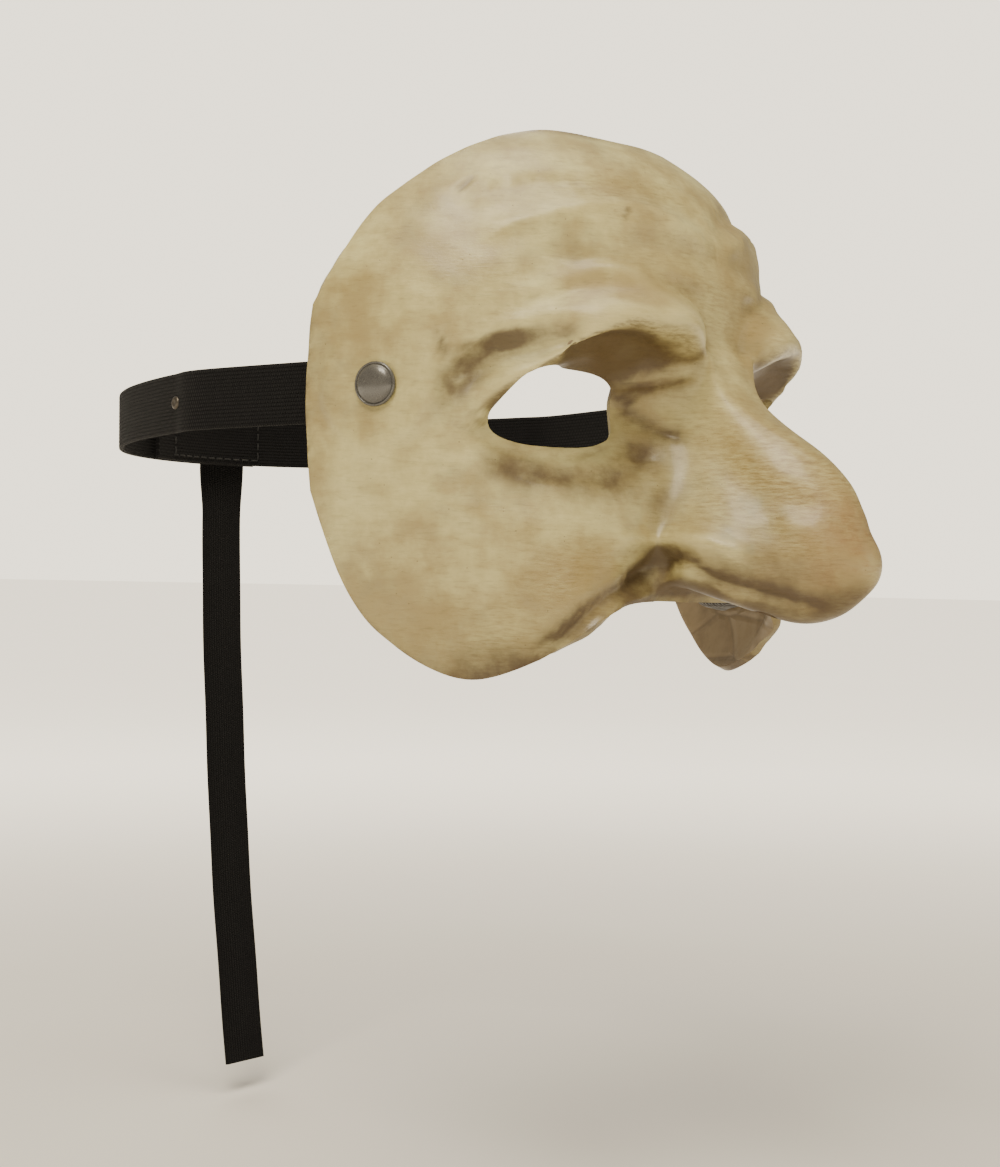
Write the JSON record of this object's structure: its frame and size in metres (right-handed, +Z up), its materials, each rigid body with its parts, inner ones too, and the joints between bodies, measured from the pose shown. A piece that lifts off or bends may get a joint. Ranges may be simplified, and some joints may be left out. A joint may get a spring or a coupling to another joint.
{
  "type": "long-nosed half mask",
  "caption": "Painted half mask with a long drooping nose, eye holes and heavy brow, on an elastic strap that snaps to both temples and laps at the back.",
  "frame": {"origin": "midway between the two temple press studs, on the shell's outside", "axes": "+Z up, the face looks along -Y, the wearer's right is -X"},
  "size_m": [0.1537, 0.2532, 0.2761],
  "materials": {
    "painted_shell": "cream paint with brown wash under gloss varnish",
    "cap_enamel": "grey enamel, glossy",
    "stud_steel": "nickel plated, dull",
    "elastic": "black woven elastic",
    "hook_tape": "black hook and loop tape",
    "pad_foam": "black felt over soft foam"
  },
  "bodies": {
    "shell": {"mask_shell": "painted_shell", "left_stud_cap": "cap_enamel", "right_stud_cap": "cap_enamel", "left_stud_socket": "stud_steel", "right_stud_socket": "stud_steel", "left_ring_spring": "stud_steel", "right_ring_spring": "stud_steel", "brow_pad": "pad_foam", "left_cheek_pad": "pad_foam", "right_cheek_pad": "pad_foam"},
    "left_band": {"left_ball_stud": "stud_steel", "left_stud_post": "stud_steel", "left_strap": "elastic", "loop_patch": "hook_tape"},
    "right_band": {"right_ball_stud": "stud_steel", "right_stud_post": "stud_steel", "right_strap": "elastic", "size_rivet": "stud_steel", "hook_patch": "hook_tape", "tail_tab": "elastic"},
    "tail": {"strap_tail": "elastic"}
  },
  "joints": [
    {"name": "strap_swing", "type": "hinge", "parent": "shell", "child": "left_band", "pos_m": [0, 0.00174, 0], "axis": [1, 0, 0], "range_deg": [-20, 20]},
    {"name": "right_stud_release", "type": "slide", "parent": "left_band", "child": "right_band", "axis": [0.9613, 0.2756, 0], "range_m": [0, 0.0042]},
    {"name": "tail_swing", "type": "hinge", "parent": "right_band", "child": "tail", "pos_m": [0.0125, 0.1522, -0.0117], "axis": [1, 0, 0], "range_deg": [-8, 60]}
  ]
}
